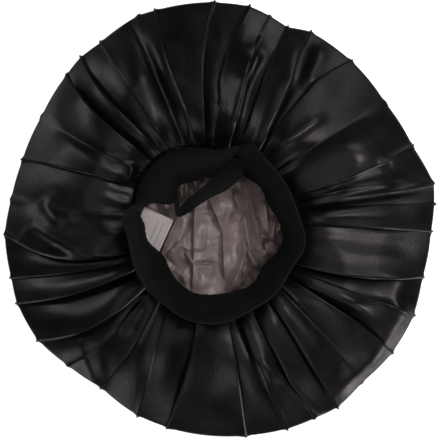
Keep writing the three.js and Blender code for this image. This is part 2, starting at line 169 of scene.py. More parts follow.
# Folds that stand on the lining: a ridge from one place to another, its height, and how wide
# it is on its left and on its right, looking from the first place to the second.
Fold = namedtuple("Fold", "x1 y1 x2 y2 high left right")
LINING_FOLDS = [
    # beside the label
    Fold(-41, -3, -54, -33, 9.0, 3.0, 2.5),
    Fold(-56, -37, -50, -50, 6.0, 5.0, 5.0),
    # the layer's edge left of the middle
    Fold(-23, 14, -24, -30, 7.0, 14, 1.0),
    Fold(-24, -30, -25, -62, 5.0, 14, 1.0),
    Fold(-48, -34, -37, -22, 7.5, 3.0, 9.0),
    Fold(-37, -23.5, -27, -29, 6.0, 7.0, 4.0),
    Fold(-31, -31, -23.5, -42, 7.0, 2.0, 2.5),
    Fold(-23, -42, -4, -43.5, 5.0, 1.0, 13),
    Fold(-40, -48, -30, -58, 4.0, 8.0, 8.0),
    # the long crease right of it
    Fold(-8.6, 15, 3.2, -12, 8.0, 10, 1.0),
    Fold(3.2, -12, 4.2, -50, 7.0, 9, 1.0),
    # the pinch in the middle and the pleats that run down from it
    Fold(13.2, 23, 17.6, 9, 8.0, 5, 1.0),
    Fold(17.6, 6.5, 8, -4, 6.0, 5.0, 5.0),
    Fold(22.4, 3, 27.5, -28, 9.0, 6, 3.0),
    Fold(22.5, -20, 22.3, -36, 11.0, 2.4, 1.8),
    Fold(22.3, -36, 11, -66, 13.0, 4.0, 2.8),
    Fold(26, -30, 34.5, -45, 11.0, 3.2, 2.6),
    Fold(24, -44, 20.8, -60, 8.0, 1.6, 1.4),
    # the two long pleats on the right
    Fold(20.9, 32.6, 32.9, 0.2, 9.0, 12, 1.0),
    Fold(32.9, 0.2, 36.2, -15, 8.0, 10, 1.0),
    Fold(42, 15.6, 46, -12, 8.0, 1.4, 9),
    # the gathered knot at the right edge
    Fold(50.5, -3, 49, -19, 9.0, 2.0, 2.0),
    Fold(39, -15, 46, -18, 9.0, 2.4, 1.8),
    Fold(57.5, -4, 53.5, -12, 9.0, 2.0, 2.0),
    Fold(48, -22, 54, -27, 9.0, 2.0, 2.0),
    Fold(38, -24, 44, -34, 5.0, 6.0, 6.0),
    # behind the strap
    Fold(-36, 31, -33.5, 12, 8.0, 2.0, 2.0),
    Fold(-31, 31, -30.5, 14, 8.0, 2.0, 2.0),
    Fold(-24, 36, -20, 24, 11.0, 4.0, 3.0),
    Fold(-15, 39, -2, 34, 12.0, 6.0, 6.0),
]
# Thin pressed-in lines of the lining, drawn as the folds are.
LINING_CREASES = [
    Fold(-24, -17, 4, -17, -1.2, 0.9, 0.9),
    Fold(-22, -40.4, -7, -40.6, -5.0, 1.0, 1.0),
    Fold(42, -20.5, 47.5, -20.5, -5.0, 1.2, 1.2),
    Fold(41.5, -20, 41.5, -28, -5.0, 1.2, 1.4),
]
LINING_CREST = 1.05  # how round a fold's top is, as fold_height has it
LINING_RELIEF = 1.35  # how many times higher the folds are than their table says
LINING_LEVEL = 6.5  # its mean height in the opening, without folds
LINING_LOWEST = 2.0
LINING_OUTER = 2.6  # its height under the satin
# Its way up and back in under the satin: radius and height.
LINING_WALL = ((164, 2.8), (170, 4.2), (173, 7), (170, 10), (150, 13), (115, 17), (85, 21))
PLEATS_ABOVE = 11  # height from which the wall is pleated
# Its way up to the band's foot: distance outside the seam, and height.
LINING_NECK = ((6, 20.8), (3, 20), (1, 20.2), (0, 21), (-0.2, 22), (-0.2, 23), (0.2, 24))

# Wrinkles of the satin between its creases, from one place to another: the angle and the
# distance out of each, the height, and how wide they are on the clockwise side and on the other.
Wrinkle = namedtuple("Wrinkle", "turn1 out1 turn2 out2 high behind ahead")
SATIN_WRINKLES = [
    Wrinkle(76.5, 152, 79.4, 123, 6.0, 3, 11),
    Wrinkle(79.4, 123, 80.5, 80, 6.0, 3, 9),
    Wrinkle(66, 176, 62, 140, 2.5, 4, 10),
    Wrinkle(57, 150, 59, 182, 3.0, 9, 7),
    Wrinkle(45, 128, 50, 86, 3.5, 6, 9),
    Wrinkle(19.2, 160, 20.2, 192, 5.0, 22, 3),
    Wrinkle(14, 106, 12, 84, 2.0, 3.5, 6),
    Wrinkle(342, 174, 333, 176, 4.0, 14, 16),
    Wrinkle(8.5, 95, 8.5, 185, -6.0, 5, 5),
    Wrinkle(114.5, 185, 112, 100, -4.0, 4, 5),
    Wrinkle(334, 189, 319, 190, 3.5, 12, 8),
    Wrinkle(319, 190, 304, 192, 3.5, 12, 8),
    Wrinkle(333.6, 178, 333.4, 198, 2.5, 3, 5),
    Wrinkle(328, 148, 322, 96, 4.0, 3, 8),
    Wrinkle(289.5, 143, 297, 203, 4.0, 9, 3),
    Wrinkle(286, 134, 287, 160, 2.0, 3, 6),
    Wrinkle(230, 134, 227, 104, -3.0, 4, 8),
    Wrinkle(220.5, 168, 234, 192, 5.0, 16, 9),
    Wrinkle(184, 164, 192, 137, 4.0, 8, 2.8),
    Wrinkle(192, 137, 197, 112, 3.0, 8, 2.8),
    Wrinkle(181, 146, 175, 162, 3.5, 8, 5),
    Wrinkle(187, 186, 181.5, 170, 2.5, 3, 6),
    Wrinkle(152, 78, 150, 101, 4.5, 3, 4),
    Wrinkle(156, 88, 148, 93, 3.5, 3, 3),
    Wrinkle(156, 118, 152, 158, 3.0, 16, 14),
]
WRINKLE_CREST = 1.7  # how round a wrinkle's top is, as fold_height has it

# The strap's centreline, its width, and how far its face turns about its own length.
Stop = namedtuple("Stop", "x y z wide roll")
STRAP_ROUTE = [
    Stop(16.8, 53.7, 51.5, 14, -20),
    Stop(14.6, 50.0, 46, 17, -14),
    Stop(11, 43, 41.5, 19, -6),
    Stop(1.6, 33.6, 37.5, 18, 0),
    Stop(-11, 24.5, 33.5, 12.5, 6),
    Stop(-24, 15.5, 29.5, 11.5, 12),
    Stop(-33, 7.8, 27.5, 9, 20),
    Stop(-37.6, 4.6, 27, 5, 10),
    Stop(-38.6, 11, 27.6, 4.6, 0),
    Stop(-39.6, 20, 29, 5, 0),
    Stop(-44, 30, 32, 7, 0),
    Stop(-58, 37, 36, 9, 0),
]
STRAP_THICK = 1.2
STRAP_RUCHE = {"high": 0.15, "pitch": 2.6, "bow": 0.6}  # small cross ribs, bent by bow
STRAP_BEAD = 0.7  # how much thicker its rolled edges are, as a share

# The label's edges, the place of its middle, how it turns, and how it curls.
LABEL = {"short": 29, "long": 34, "x": -62.4, "y": -10.5, "z": 18, "turn": -24.5, "thick": 0.4}
LABEL_CURL = {"bowl": 3.4, "lean": 1.6, "wave": 0.3}
# The plain lines along it: how far across each one lies, and half its width and length.
LABEL_LINES = {"across": (2.5, 7.5), "half_width": 0.35, "half_length": 11}


# ---- Small helpers -------------------------------------------------------------------------
def mix(a, b, t):
    return a + (b - a) * t


def ease(low, high, value):
    """0 below low, 1 above high, and a smooth step between them."""
    t = np.clip((value - low) / (high - low), 0, 1)
    return t * t * (3 - 2 * t)


RIPPLE_TERMS = 14
RIPPLE_SPREAD = 0.3
PATCH_TERMS = 16
PATCH_SPREAD = (0.7, 1.5)


def ripple(waves, turn, along):
    """The height of waves on a ring: turn in radians, along from 0 to 1."""
    pick = np.random.default_rng(waves.seed)
    total = np.zeros(np.broadcast(turn, along).shape)
    for _ in range(RIPPLE_TERMS):
        around = round(pick.normal(waves.around, waves.around * RIPPLE_SPREAD))
        inward = pick.normal(0, waves.along)
        phase = pick.uniform(0, 2 * math.pi)
        total += np.cos(around * turn + 2 * math.pi * inward * along + phase)
    return waves.high * (total / math.sqrt(RIPPLE_TERMS / 2))


def patchwork(patches, x, y):
    """The height of patches on a plane."""
    pick = np.random.default_rng(patches.seed)
    total = np.zeros(np.broadcast(x, y).shape)
    for _ in range(PATCH_TERMS):
        heading = pick.uniform(0, 2 * math.pi)
        pitch = 2 * math.pi / (patches.wavelength * pick.uniform(*PATCH_SPREAD))
        phase = pick.uniform(0, 2 * math.pi)
        total += np.cos(pitch * (x * math.cos(heading) + y * math.sin(heading)) + phase)
    return patches.high * (total / math.sqrt(PATCH_TERMS / 2))


FOLD_RISES = (-0.3, 0.15)  # shares of a fold's length between which it rises
FOLD_FALLS = (0.75, 1.3)  # and between which it falls


def fold_height(x, y, start, end, high, left, right, crest):
    """Height of one ridge over a plane, with its own width on each side.

    crest says how round its top is: 1 is a knife edge, 2 is round.
    """
    dx, dy = end[0] - start[0], end[1] - start[1]
    long = math.hypot(dx, dy)
    t = ((x - start[0]) * dx + (y - start[1]) * dy) / long**2
    across = ((x - start[0]) * dy - (y - start[1]) * dx) / long  # positive on the right
    width = np.where(across > 0, right, left)
    shown = ease(*FOLD_RISES, t) * (1 - ease(*FOLD_FALLS, t))
    return high * np.exp(-(np.abs(across / width) ** crest)) * shown


def polar(degrees, radius):
    return radius * math.cos(math.radians(degrees)), radius * math.sin(math.radians(degrees))


def seam_point(degrees, offset=0.0):
    """Place on the seam, moved outward by offset."""
    turned = np.radians(degrees - SEAM["tilt"])
    radius = (
        SEAM["long"]
        * SEAM["short"]
        / np.hypot(SEAM["short"] * np.cos(turned), SEAM["long"] * np.sin(turned))
    ) + offset
    for dent in SEAM_DENTS:
        apart = (degrees - dent.turn + 180) % 360 - 180
        radius = radius + dent.out * np.exp(-((apart / dent.wide) ** 2))
    angle = np.radians(degrees)
    return SEAM["x"] + radius * np.cos(angle), SEAM["y"] + radius * np.sin(angle)


def smooth_rows(rows, places, closed):
    """Catmull-Rom through rows of numbers, at places counted in rows."""
    table = np.array(rows, dtype=float)
    count = len(table)
    places = np.asarray(places, dtype=float)
    first = np.floor(places).astype(int)
    if not closed:
        first = np.clip(first, 0, count - 2)
    t = (places - first)[..., None]

    def row(step):
        index = first + step
        return table[index % count] if closed else table[np.clip(index, 0, count - 1)]

    a, b, c, d = row(-1), row(0), row(1), row(2)
    return 0.5 * (
        2 * b + (c - a) * t + (2 * a - 5 * b + 4 * c - d) * t**2 + (3 * b - a - 3 * c + d) * t**3
    )


def grid_mesh(name, points, uv, closed=True, tube=False, ends=()):
    """A mesh from points[row][column], with a uv map in millimetres.

    closed joins the last column to the first, and tube the last row to the first. There uv may
    have one more column or row than points, so that a pattern runs on. ends fills row 0 or -1.
    """
    rows, columns = points.shape[:2]
    index = np.arange(rows * columns).reshape(rows, columns)
    if closed:
        index = np.concatenate([index, index[:, :1]], axis=1)
    if tube:
        index = np.concatenate([index, index[:1]], axis=0)
    if uv.shape[1] < index.shape[1]:
        uv = np.concatenate([uv, uv[:, :1]], axis=1)

    def corners(table):
        return np.stack([table[:-1, :-1], table[:-1, 1:], table[1:, 1:], table[1:, :-1]], axis=2)

    faces = corners(index).reshape(-1, 4).tolist()
    places = [corners(uv).reshape(-1, 2)]
    for end in ends:
        step = -1 if end == 0 else 1
        faces.append(index[end, :columns][::step].tolist())
        places.append(uv[end, :columns][::step])
    mesh = bpy.data.meshes.new(name)
    mesh.from_pydata((points.reshape(-1, 3) * MM).tolist(), [], faces)
    layer = mesh.uv_layers.new(name="cloth")
    layer.data.foreach_set("uv", np.concatenate(places).astype(np.float32).ravel())
    mesh.shade_smooth()
    made = bpy.data.objects.new(name, mesh)
    bpy.context.scene.collection.objects.link(made)
    return made


def solidify(piece, thickness):
    """Give a sheet its thickness, behind the modelled face, or before it if negative."""
    bpy.context.view_layer.objects.active = piece
    wall = piece.modifiers.new("wall", "SOLIDIFY")
    wall.thickness = thickness * MM
    wall.offset = -1
    bpy.ops.object.modifier_apply(modifier=wall.name)


# ---- Satin ---------------------------------------------------------------------------------
PANEL_PITCH = 2.6  # largest step between columns, at the outline
LAP_STEPS = [  # a lap from its tucked side to its top: sideways, and share of the drop
    (0.8, 0.0),
    (0.5, 0.1),
    (-0.7, 0.6),
    (-1.0, 0.9),
    (-0.9, 1.0),
]
LAP = 2.6  # the unit of those sideways steps
LAP_FADE = 0.3  # share of a panel in which the sideways shift of a lap fades
SPREAD = 0.3  # step between a lap's columns on the underside, where it lies flat
FEWEST_COLUMNS = 4  # in a panel
RELIEF = 2.0  # how many times deeper the creases are than their drop
RIM_STEP = 0.25  # share of a crease's step that is left at the outline
ROOT_LOSS = 0.6  # share of it that is lost at the band
START_BLUR = 0.12  # over how much of the way in a crease's step comes up, and dies out
END_BLUR = 0.2
FULLNESS = 0.7  # share of a panel's full that it swells by
DIP = 1.8  # above 1, a panel dips mostly near its low side
TOP_ROWS = 56
TOP_INSET = 1.3  # how far inside the outline the top begins
TOP_PATTERN = 4  # in the satin's pattern, how far past the outline the top begins
TOP_PATTERN_STEP = 3  # and how far on each of its rows lies
UNDERSIDE_RADII = (12, 45, 80, 115, 148)
# The satin's side, from its underside up: share of the outline's radius, distance behind that,
# and height.
Rim = namedtuple("Rim", "share back z")
SATIN_SIDE = (
    Rim(0.84, 0, 0.15),
    Rim(0.93, 0, 0.8),
    Rim(0.965, 0, 1.5),
    Rim(1, 2.4, 2.6),
    Rim(1, 0.6, 5.0),
    Rim(1, 0, 8.0),
    Rim(1, 0, 11.0),
    Rim(1, 0.2, 13.2),
    Rim(1, 0.6, 14.6),
)


def crease_angle(crease, inward):
    bend = (crease.mid - mix(crease.edge, crease.root, MID_AT)) / (MID_AT * (1 - MID_AT))
    return mix(crease.edge, crease.root, inward) + bend * inward * (1 - inward)


def crease_show(crease, inward):
    """How much of a crease's step shows, at a share of the way in."""
    grows = mix(RIM_STEP, 1, ease(-0.1, 0.4, inward))
    rises, falls = 1, 1
    if crease.starts > 0:
        rises = ease(crease.starts - START_BLUR, crease.starts + START_BLUR, inward)
    if crease.ends < 1:
        falls = 1 - ease(crease.ends, crease.ends + END_BLUR, inward)
    return grows * rises * falls * (1 - ROOT_LOSS * ease(0.8, 1.0, inward))


def pouf_height(turn, inward):
    """Height of the pouf without its creases. Its crest wanders in and out round the cap."""
    crest = POUF["crest"] + ripple(CREST_WANDER, turn, 0.0)
    rise = 1 - (1 - np.clip(inward / crest, 0, 1)) ** POUF["rise"]
    fall = np.clip((inward - crest) / (1 - crest), 0, 1) ** POUF["fall"]
    top = POUF["height"] + ripple(CREST_HEIGHT, turn, 0.0)
    up = mix(POUF["edge"], top, rise)
    crevice = POUF["crevice"] * ease(0.7, 1.0, inward)
    return up + (POUF["mouth"] - top) * fall - crevice


def satin_columns():
    """Every column: its crease, share of the panel, sideways shift and share of the step."""
    columns = []
    for i, crease in enumerate(CREASES):
        after = CREASES[(i + 1) % len(CREASES)]
        width = (after.edge - crease.edge) % 360
        if crease.laps == 0:
            columns.append((i, 0.0, 0.0, 0.5))
        else:
            steps = LAP_STEPS if crease.laps > 0 else [(-a, 1 - b) for a, b in LAP_STEPS[::-1]]
            columns += [(i, 0.0, side, share) for side, share in steps]
        pitches = math.radians(width) * crease.reach / PANEL_PITCH
        count = max(FEWEST_COLUMNS, math.ceil(pitches))
        for t in np.arange(1, count) / count:
            columns.append((i, t, 0.0, 1.0))
    return columns


def satin_relief(columns, inward):
    """Angle, sideways shift and height over the pouf, for every column at one row."""
    count = len(CREASES)
    angle = np.array([crease_angle(c, inward) for c in CREASES])
    show = np.array([crease_show(c, inward) for c in CREASES])
    drop = RELIEF * np.array([c.drop for c in CREASES]) * show
    laps = np.array([c.laps for c in CREASES])
    full = FULLNESS * np.array([c.full for c in CREASES])
    before = np.where(laps == 0, -0.5, -0.5 * laps) * drop
    after = np.where(laps == 0, -0.5, 0.5 * laps) * drop
    which = np.array([c[0] for c in columns])
    t = np.array([c[1] for c in columns])
    side = np.array([c[2] for c in columns])
    share = np.array([c[3] for c in columns])
    nxt = (which + 1) % count
    ahead = np.where(nxt == 0, 360, 0) + angle[nxt]
    in_panel = t > 0
    turn = mix(angle[which], ahead, t)
    # the sideways shift of a lap fades into the panels on its two sides
    start = np.where(laps[which] > 0, LAP_STEPS[-1][0], -LAP_STEPS[0][0]) * (laps[which] != 0)
    end = np.where(laps[nxt] > 0, LAP_STEPS[0][0], -LAP_STEPS[-1][0]) * (laps[nxt] != 0)
    drift = start * show[which] * np.clip(1 - t / LAP_FADE, 0, 1)
    drift = drift + end * show[nxt] * np.clip(1 - (1 - t) / LAP_FADE, 0, 1)
    shift = LAP * np.where(in_panel, drift, side * show[which])
    # a panel swells most in its middle, and less at the outline and the band
    swell = full[which] * 4 * t * (1 - t) * ease(0.0, 0.35, inward)
    swell = swell * (1 - 0.4 * ease(0.8, 1, inward))
    # a panel stays near its high side and dips towards its low one
    high, low = after[which], before[nxt]
    s = np.where(high > low, t**DIP, 1 - (1 - t) ** DIP)
    panel = mix(high, low, s) + swell
    lap = mix(before[which], after[which], share)
    return turn, shift, np.where(in_panel, panel, lap)


def satin_roughness(angle, inward):
    """Irregular small wrinkles, which fade at the outline and at the band."""
    soft = ripple(SATIN_SOFT, angle, inward) + ripple(SATIN_FINE, angle, inward)
    gathers = ripple(SATIN_GATHERS, angle, inward) * ease(0.62, 0.9, inward)
    crumpled = ease(-0.4, 1.0, ripple(CRUMPLED_PARTS, angle, inward))
    crumple = -np.abs(ripple(SATIN_CRUMPLE, angle, inward)) * crumpled
    rough = (soft + crumple) * ease(0, 0.25, inward) + gathers
    return rough * (1 - ease(0.9, 1.0, inward))


def add_wrinkles(relief, x, y):
    """The relief with every wrinkle of the satin's table added."""
    for w in SATIN_WRINKLES:
        ends = polar(w.turn1, w.out1), polar(w.turn2, w.out2)
        sides = (w.ahead, w.behind) if w.out2 > w.out1 else (w.behind, w.ahead)
        relief = relief + fold_height(x, y, *ends, w.high, *sides, WRINKLE_CREST)
    return relief


def satin_piece():
    columns = satin_columns()
    which = np.array([c[0] for c in columns])
    t = np.array([c[1] for c in columns])
    reach = np.array([c.reach for c in CREASES])
    reach = mix(reach[which], reach[(which + 1) % len(CREASES)], t)
    reach = reach - NUB * np.minimum(1, NUB_SHARP * np.minimum(t, 1 - t))
    edge_turn, edge_shift, edge_relief = satin_relief(columns, 0.0)
    # under the cap, the columns of a lap lie side by side
    order = np.zeros(len(columns))
    for i in range(len(CREASES)):
        lap = np.flatnonzero((which == i) & (t == 0))
        order[lap] = np.arange(len(lap)) - (len(lap) - 1) / 2
    edge = np.radians(edge_turn) + SPREAD * order / reach
    rows, flat = [], []

    def add(x, y, z, cut):
        rows.append(np.stack([x, y, np.broadcast_to(z, x.shape)], axis=-1))
        flat.append(np.stack([cut * np.cos(edge), cut * np.sin(edge)], axis=-1))

    for radius in UNDERSIDE_RADII:
        add(radius * np.cos(edge), radius * np.sin(edge), 0.0, radius + 0 * edge)
    for share, back, z in SATIN_SIDE:
        radius = reach * share - back
        lift = edge_relief * (z / POUF["edge"]) ** 2
        folds = ease(5, 14, z)
        angle = np.radians(edge_turn) + mix(SPREAD * order, edge_shift, folds) / reach
        add(radius * np.cos(angle), radius * np.sin(angle), z + lift, radius)
    cut = reach + TOP_PATTERN
    for inward in np.concatenate([[0.0, 0.008], np.linspace(0.02, 1, TOP_ROWS)]):
        turn, shift, relief = satin_relief(columns, inward)
        mouth_x, mouth_y = seam_point(turn, POUF["clear"])
        mouth = np.hypot(mouth_x - SEAM["x"], mouth_y - SEAM["y"])
        radius = mix(reach - TOP_INSET, mouth, inward)
        angle = np.radians(turn) + shift / radius
        x = inward * SEAM["x"] + radius * np.cos(angle)
        y = inward * SEAM["y"] + radius * np.sin(angle)
        relief = add_wrinkles(relief, x, y)
        z = pouf_height(angle, inward) + relief + satin_roughness(angle, inward)
        cut = cut + TOP_PATTERN_STEP
        add(x, y, z, cut)
    made = grid_mesh("satin_shell", np.array(rows), np.array(flat), ends=(0,))
    solidify(made, CLOTH)
    return made


# ---- Band ----------------------------------------------------------------------------------
BAND_COLUMNS, BAND_ROWS = 420, 26


def band_piece():
    count, rows = BAND_COLUMNS, BAND_ROWS
    places = np.arange(count) / count * len(BAND_SECTIONS)
    unrolled = [s._replace(seam=0) for s in BAND_SECTIONS]
    _, hem_x, hem_y, hem_z, arch = smooth_rows(unrolled, places, True).T
    seams = np.array([s.seam for s in BAND_SECTIONS] + [360 + BAND_SECTIONS[0].seam])
    seam = np.interp(places, np.arange(len(seams)), seams)
    around = 2 * math.pi * np.arange(count) / count
    foot_x, foot_y = seam_point(seam)
    middle = []
    for row in range(rows + 1):
        share = row / rows
        bulge = 4 * share * (1 - share) * arch
        sway = ripple(BAND_SWAY, around, share) * ease(0.05, 0.7, share)
        slack = ripple(BAND_SLACK, around, share) * math.sin(math.pi * share)
        pucker = ripple(BAND_PUCKER, around, share) * (1 - ease(0.0, 0.35, share))
        x = mix(foot_x, hem_x, share)
        y = mix(foot_y, hem_y, share)
        tuck = BAND_TUCK * (1 - ease(0.0, 0.12, share))
        z = mix(BAND_FOOT, hem_z, share) + bulge - tuck
        out = np.arctan2(y - SEAM["y"], x - SEAM["x"])
        x = x + (sway + slack + pucker) * np.cos(out)
        y = y + (sway + slack + pucker) * np.sin(out)
        middle.append(np.stack([x, y, z], axis=-1))
    middle = np.array(middle)
    side = np.roll(middle, -1, axis=1) - np.roll(middle, 1, axis=1)
    up = np.gradient(middle, axis=0)
    out = np.cross(side, up)
    out /= np.linalg.norm(out, axis=-1, keepdims=True)
    half = BAND_THICK / 2
    # a stitched line runs below the hem
    share = np.linspace(0, 1, rows + 1)[:, None, None]
    apart = (share - HEM_STITCH["at"]) / HEM_STITCH["wide"]
    stitched = half * (1 - HEM_STITCH["deep"] * np.exp(-(apart**2)))
    outer = middle + out * stitched
    inner = middle - out * stitched
    tip = middle[-1] - middle[-2]
    tip /= np.linalg.norm(tip, axis=-1, keepdims=True)
    hem = []
    for angle in np.radians(HEM_ARC):
        hem.append(middle[-1] + half * (out[-1] * math.cos(angle) + tip * math.sin(angle)))
    ring = np.concatenate([outer, np.array(hem), inner[::-1]])
    length = np.linalg.norm(side, axis=-1).mean() * count / 2
    along = np.linspace(0, length, count + 1)
    lift = np.linspace(0, BAND_GIRTH, len(ring) + 1)
    uv = np.stack(np.broadcast_arrays(along[None, :], lift[:, None]), axis=-1)
    return grid_mesh("stretch_band_knit", ring, uv, tube=True)


# ---- Lining --------------------------------------------------------------------------------
LINING_COLUMNS = 440
NECK_PATTERN = 300  # radius of the neck in the lining's pattern
LINING_RINGS = np.concatenate([np.linspace(2, 76, 84), np.linspace(84, 150, 7)])


def lining_fold(x, y, f):
    ends = (f.x1, f.y1), (f.x2, f.y2)
    return fold_height(x, y, *ends, f.high, f.left, f.right, LINING_CREST)


def lining_floor(x, y):
    """Height of the lining inside the opening: the folds meet in sharp valleys."""
    folds = 0.0
    for fold in LINING_FOLDS:
        folds = np.maximum(folds, lining_fold(x, y, fold))
    creases = 0.0
    for crease in LINING_CREASES:
        creases = creases + lining_fold(x, y, crease)
    swells = patchwork(LINING_SWELLS, x, y)
    crush = np.abs(patchwork(LINING_CRUSH, x, y))
    z = LINING_LEVEL + swells - crush
    return np.maximum(z + LINING_RELIEF * folds + creases, LINING_LOWEST)


def lining_piece():
    count = LINING_COLUMNS
    degrees = np.arange(count) * 360 / count
    angle = np.radians(degrees)
    rows, flat = [], []

    def add(x, y, z, cut):
        rows.append(np.stack([x, y, np.broadcast_to(z, x.shape)], axis=-1))
        flat.append(np.stack([cut * np.cos(angle), cut * np.sin(angle)], axis=-1))

    for radius in LINING_RINGS:
        x = SEAM["x"] + radius * np.cos(angle)
        y = SEAM["y"] + radius * np.sin(angle)
        z = mix(lining_floor(x, y), LINING_OUTER, ease(64, 130, radius))
        add(x, y, z, radius)
    for radius, z in LINING_WALL:
        pleat = ripple(LINING_PLEATS, angle, 0.0) * (z > PLEATS_ABOVE)
        add(radius * np.cos(angle), radius * np.sin(angle), z + pleat, radius)
    for offset, z in LINING_NECK:
        x, y = seam_point(degrees, offset)
        add(x, y, z, NECK_PATTERN - offset)
    made = grid_mesh("lining_satin", np.array(rows), np.array(flat), ends=(0,))
    solidify(made, -CLOTH)
    return made


# ---- Strap and label -----------------------------------------------------------------------
STRAP_STATIONS, STRAP_AROUND = 240, 24
LABEL_CELLS = 24


def strap_piece():
    places = np.linspace(0, len(STRAP_ROUTE) - 1, STRAP_STATIONS)
    table = smooth_rows(STRAP_ROUTE, places, False)
    centre, wide, roll = table[:, :3], table[:, 3], np.radians(table[:, 4])
    ahead = np.gradient(centre, axis=0)
    ahead /= np.linalg.norm(ahead, axis=-1, keepdims=True)
    level = np.stack([-ahead[:, 1], ahead[:, 0], 0 * roll], axis=-1)
    level /= np.linalg.norm(level, axis=-1, keepdims=True)
    lift = np.cross(ahead, level)
    across = level * np.cos(roll)[:, None] + lift * np.sin(roll)[:, None]
    up = np.cross(ahead, across)
    length = np.concatenate([[0], np.cumsum(np.linalg.norm(np.diff(centre, axis=0), axis=-1))])
    half = STRAP_THICK / 2
    turn = 2 * math.pi * np.arange(STRAP_AROUND) / STRAP_AROUND
    rows, uv = [], []
    for i in range(STRAP_STATIONS):
        # the section is a flat oval with square shoulders
        side = np.sign(np.cos(turn)) * np.abs(np.cos(turn)) ** 0.5 * wide[i] / 2
        phase = 2 * math.pi * length[i] / STRAP_RUCHE["pitch"] + STRAP_RUCHE["bow"] * np.sin(side)
        ruche = STRAP_RUCHE["high"] * np.cos(phase)
        bead = 1 + STRAP_BEAD * ease(0.7, 0.95, np.abs(side) / (wide[i] / 2))
        high = half * bead * np.sign(np.sin(turn)) * np.abs(np.sin(turn)) ** 0.5 + ruche
        rows.append(centre[i] + across[i] * side[:, None] + up[i] * high[:, None])
        uv.append(np.stack([side, 0 * side + length[i]], axis=-1))
    return grid_mesh("ruched_strap", np.array(rows), np.array(uv), ends=(0, -1))


def label_piece():
    shares = np.linspace(-0.5, 0.5, LABEL_CELLS + 1)
    u, v = np.meshgrid(shares, shares)
    x, y = u * LABEL["short"], v * LABEL["long"]
    bowl = LABEL_CURL["bowl"] * (2 * u) ** 2
    wave = LABEL_CURL["wave"] * np.sin(3 * v + u)
    z = LABEL["z"] + bowl - LABEL_CURL["lean"] * u + wave
    c, s = polar(LABEL["turn"], 1)
    points = np.stack([LABEL["x"] + x * c - y * s, LABEL["y"] + x * s + y * c, z], axis=-1)
    made = grid_mesh("plain_label", points, np.stack([x, y], axis=-1), closed=False)
    solidify(made, LABEL["thick"])
    return made


# ---- Materials -----------------------------------------------------------------------------
def new_material(name, colour, roughness):
    material = bpy.data.materials.new(name)
    material.use_nodes = True
    shader = material.node_tree.nodes["Principled BSDF"]
    shader.inputs["Base Color"].default_value = (*colour, 1)
    shader.inputs["Roughness"].default_value = roughness
    return material, shader


def link(material, source, target):
    material.node_tree.links.new(source, target)


def add_node(material, kind, **settings):
    """A node with its settings, and its inputs' values by name with spaces as underscores."""
    node = material.node_tree.nodes.new(kind)
    for key, value in settings.items():
        name = key.replace("_", " ")
        if name in node.inputs:
            node.inputs[name].default_value = value
        else:
            setattr(node, key, value)
    return node


def cloth_places(material, scale):
    """Places on the flat cut cloth, in millimetres times a scale for each direction."""
    cloth = add_node(material, "ShaderNodeUVMap", uv_map="cloth")
    places = add_node(material, "ShaderNodeMapping", Scale=(*scale, 1))
    link(material, cloth.outputs["UV"], places.inputs["Vector"])
    return places.outputs["Vector"]


def noise(material, scale, detail=2):
    """Noise on the cloth, with its scale in cycles for each millimetre."""
    made = add_node(material, "ShaderNodeTexNoise", Scale=1.0, Detail=detail)
    link(material, cloth_places(material, scale), made.inputs["Vector"])
    return made.outputs["Fac"]


def ribs(material, pitch, direction):
    """Straight ribs with a pitch in millimetres, across the cloth's X or Y."""
    made = add_node(
        material,
        "ShaderNodeTexWave",
        bands_direction=direction,
        Scale=2 * math.pi / (20 * pitch),
        Distortion=0.6,
        Detail=1.0,
    )
    link(material, cloth_places(material, (1, 1)), made.inputs["Vector"])
    return made.outputs["Fac"]


def add_bump(material, shader, heights):
    """Raise the surface by each pattern, with its depth in millimetres, one on another."""
    below = None
    for pattern, depth in heights:
        bump = add_node(material, "ShaderNodeBump", Distance=depth * MM, Strength=1.0)
        link(material, pattern, bump.inputs["Height"])
        if below:
            link(material, below, bump.inputs["Normal"])
        below = bump.outputs["Normal"]
    link(material, below, shader.inputs["Normal"])


NOISE_LOW, NOISE_HIGH = 0.3, 0.7  # most of a noise pattern lies between these


def add_range(material, pattern, low, high, target):
    """Drive an input between two values as a pattern goes from its low to its high part."""
    spread = add_node(material, "ShaderNodeMapRange", From_Min=NOISE_LOW, From_Max=NOISE_HIGH)
    spread.inputs["To Min"].default_value = low
    spread.inputs["To Max"].default_value = high
    link(material, pattern, spread.inputs["Value"])
    link(material, spread.outputs["Result"], target)


def add_colours(material, pattern, dark, light, target):
    """Drive a colour input between two colours by a pattern."""
    ramp = add_node(material, "ShaderNodeValToRGB")
    ramp.color_ramp.elements[0].position = NOISE_LOW
    ramp.color_ramp.elements[0].color = (*dark, 1)
    ramp.color_ramp.elements[1].position = NOISE_HIGH
    ramp.color_ramp.elements[1].color = (*light, 1)
    link(material, pattern, ramp.inputs["Fac"])
    link(material, ramp.outputs["Color"], target)


def shade(colour, factor):
    return tuple(part * factor for part in colour)


def mottle(material, shader, colour, pattern, shades, roughness):
    """Vary the colour by two factors, and the roughness by two values, with one pattern."""
    dark, light = (shade(colour, factor) for factor in shades)
    add_colours(material, pattern, dark, light, shader.inputs["Base Color"])
    add_range(material, pattern, *roughness, shader.inputs["Roughness"])


